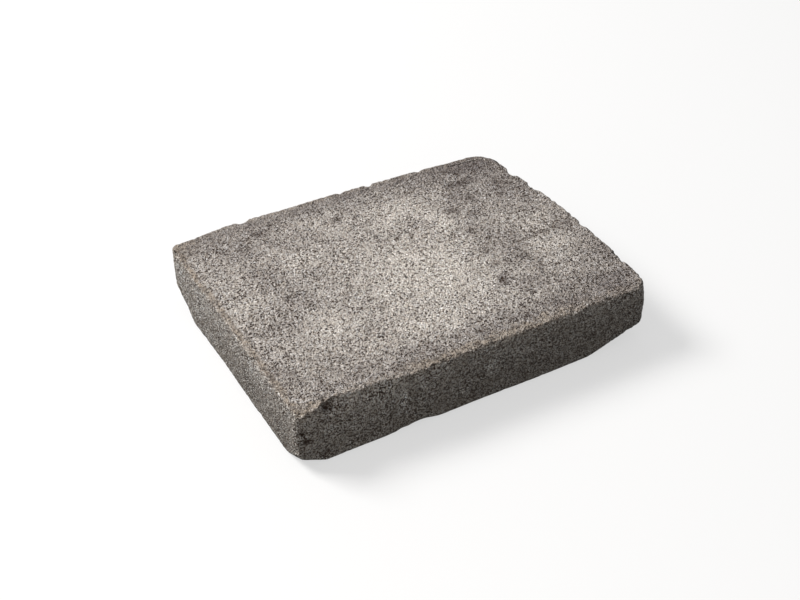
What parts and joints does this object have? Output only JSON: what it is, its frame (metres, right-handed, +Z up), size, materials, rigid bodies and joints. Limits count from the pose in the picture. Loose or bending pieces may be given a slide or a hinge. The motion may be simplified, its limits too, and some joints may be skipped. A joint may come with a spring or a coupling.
{
  "type": "concrete paver",
  "caption": "Tumbled concrete paver: a flat rectangular block with an open-grained top, rough sides, worn arrises and broken corners, laid on a sand bed for paths and yards.",
  "frame": {"origin": "middle of the block's box, at its bed face", "axes": "+X along the length, +Y along the width away from the long side that faces the camera, +Z up out of the walking face"},
  "size_m": [0.2794, 0.2103, 0.05],
  "materials": {
    "concrete": "open-grained dry-cast concrete, mottled warm grey and purple-grey, sandy where the arrises are worn"
  },
  "bodies": {
    "root": {"paver": "concrete"}
  },
  "joints": []
}
